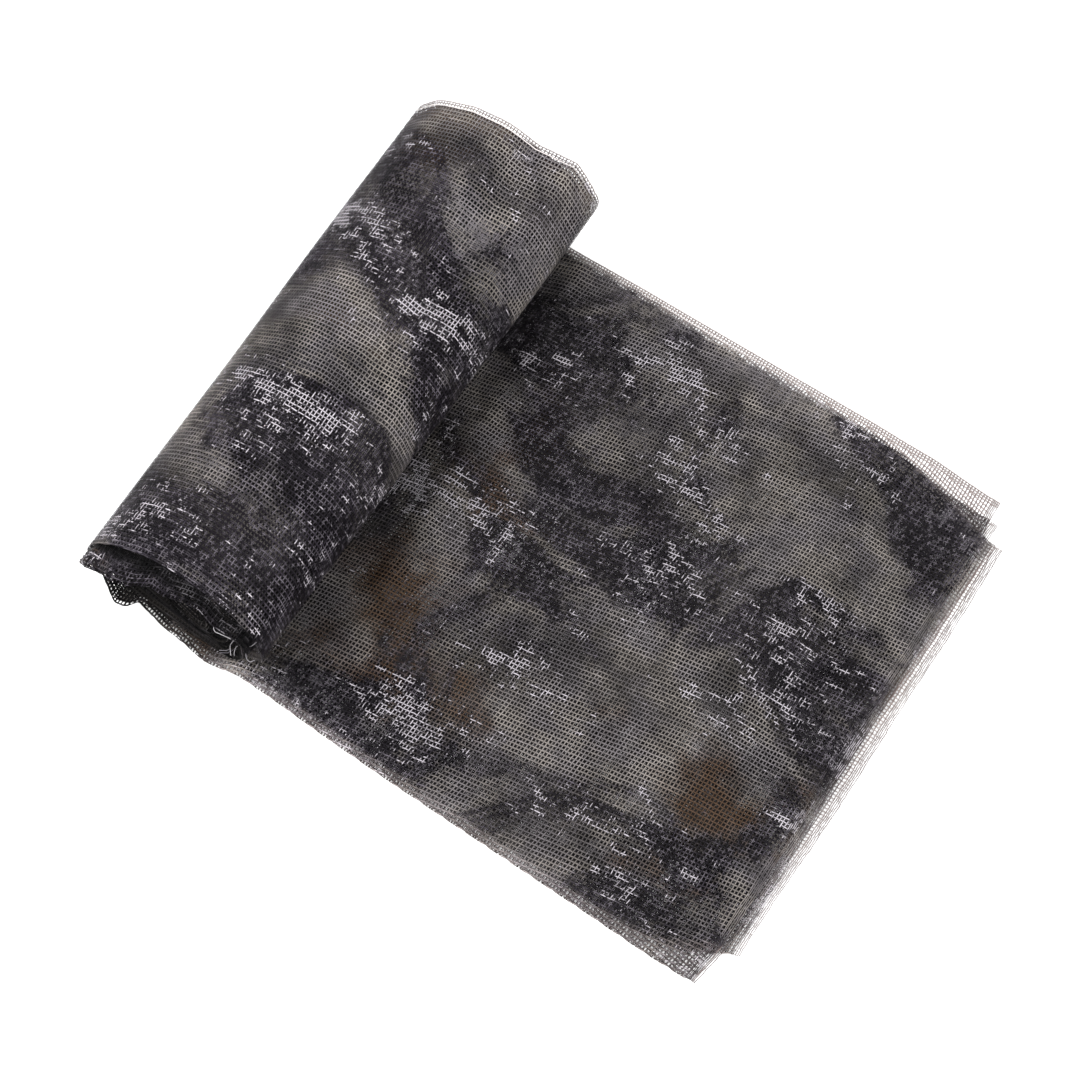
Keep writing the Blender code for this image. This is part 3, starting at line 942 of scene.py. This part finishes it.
def yarnMaterial(name):
    # painted shade darkens a yarn to its sides and where less light reaches it, with a painted highlight
    # along its middle and painted backlight where light comes through; it has fine fibres
    made, shader, cloth = startMaterial(name)
    keys = ("crosswise", "across", "paintedLight", "paintedBacklight", "undyed")
    read = [cloth.node("ShaderNodeAttribute", {"attribute_name": key}, {}, 2) for key in keys]
    crosswise, across, paintedLight01, paintedBacklight, undyed = read
    round01 = 1 - across * across
    # painted backlight: paler tones where light comes through the yarns
    through = crosswise.blend(finish["paintedBacklightAlong"], finish["paintedBacklight"])
    colour = (paintedBacklight * finish["paintedBacklightMost"]).blend(printColour(cloth, crosswise, round01), through)
    colour = undyed.blend(colour, finish["undyed"])
    # painted shade to the yarn's sides and a painted highlight along its middle, times the painted light
    colour = shaded(colour, (finish["sides"] + round01 * finish["crownHighlight"]) * paintedLight01)
    fibres = noise(cloth, (2600, 2600), 0, (0, 0), 1)
    height = round01 + fibres * 0.35
    bump = cloth.node("ShaderNodeBump", {}, {"Strength": 0.7, "Distance": 0.25 * mm, "Height": height})
    made.node_tree.links.new(colour.socket, shader.inputs["Base Color"])
    made.node_tree.links.new(bump.socket, shader.inputs["Normal"])
    return made


def deeperMaterial(name):
    # the same print under a painted shade, drawn on a closed sheet with the holes between the yarns painted
    # near black as shade
    made, shader, cloth = startMaterial(name)
    half = panel["yarnShare"] / 2
    lines = []
    for place01 in gridPlace(*cloth.parts(2)):
        centre = place01.math("PINGPONG", place01, 0.5)  # 0 on a yarn's middle, 0.5 between two
        lines.append(1 - centre.rise(half - 0.06, half + 0.06))
    mask = lines[0].math("MAXIMUM", lines[0], lines[1])
    # painted shade: near black holes, and the print darkened inside the roll
    colour = mask.blend(finish["paintedHoleShade"], shaded(printColour(cloth, lines[0], mask), deeper["paintedShade"]))
    bump = cloth.node("ShaderNodeBump", {}, {"Strength": 0.6, "Distance": 0.3 * mm, "Height": mask})
    made.node_tree.links.new(colour.socket, shader.inputs["Base Color"])
    made.node_tree.links.new(bump.socket, shader.inputs["Normal"])
    return made


def threadMaterial(name):
    made, shader, cloth = startMaterial(name)
    number = (cloth.parts(2)[1] / 4).rounded()  # of the thread, from the brightest to the dimmest
    colour = (number / (len(threads["lines"]) - 1)).blend(threads["bright"], threads["dim"])
    made.node_tree.links.new(colour.socket, shader.inputs["Base Color"])
    return made


yarnFinish = yarnMaterial("dyed_yarn")
deeperFinish = deeperMaterial("dyed_mesh")
for piece, _ in netting.values():
    piece.data.materials.append(yarnFinish)
deeperTurns.data.materials.append(deeperFinish)
looseThreads.data.materials.append(threadMaterial("pale_thread"))
print("finishes ready")

studio = {
    "floor": (0.90, 0.90, 0.90, 1),
    "floorRoughness": 0.9,
    "floorSize": 6.0,
    "world": 1.35,
    "lights": (  # name, azimuth it comes from, elevation, distance, size, watts
        ("key", 285, 52, 2.2, 1.6, 36),
        ("fill", 60, 60, 2.4, 1.8, 42),
    ),
}


def makeFloor(name):
    made = bpy.data.meshes.new(name)
    half = studio["floorSize"] / 2
    corners = [(-half, -half, 0), (half, -half, 0), (half, half, 0), (-half, half, 0)]
    made.from_pydata(corners, [], [(0, 1, 2, 3)])
    paper = bpy.data.materials.new("pale_floor")
    paper.use_nodes = True
    shader = paper.node_tree.nodes["Principled BSDF"]
    shader.inputs["Base Color"].default_value = studio["floor"]
    shader.inputs["Roughness"].default_value = studio["floorRoughness"]
    made.materials.append(paper)
    floor = bpy.data.objects.new(name, made)
    bpy.context.scene.collection.objects.link(floor)


def makeLights():
    for name, azimuth, elevation, distance, size, watts in studio["lights"]:
        back, side = directions(azimuth, elevation)
        lamp = bpy.data.lights.new(name, "AREA")
        lamp.shape, lamp.size, lamp.energy = "DISK", size, watts
        standAt(bpy.data.objects.new(name, lamp), side, np.cross(back, side), back, back * distance)
    world = bpy.data.worlds.new("studio")
    world.use_nodes = True
    world.node_tree.nodes["Background"].inputs["Color"].default_value = (1, 1, 1, 1)
    world.node_tree.nodes["Background"].inputs["Strength"].default_value = studio["world"]
    bpy.context.scene.world = world


makeFloor("floor")
makeLights()
bpy.context.scene.view_settings.view_transform = "Standard"

share = 2 * panel["yarnShare"]  # of the mesh's area that its yarns cover, counted singly
for name, (piece, flat) in netting.items():
    onIt = [looseThreads] if name == "roll_deeper_edges" else []
    flat[0] * flat[1] * share
for piece in [each[0] for each in netting.values()] + [deeperTurns, looseThreads]:
    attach(piece, "root")
    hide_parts("net")

print("all pieces placed")
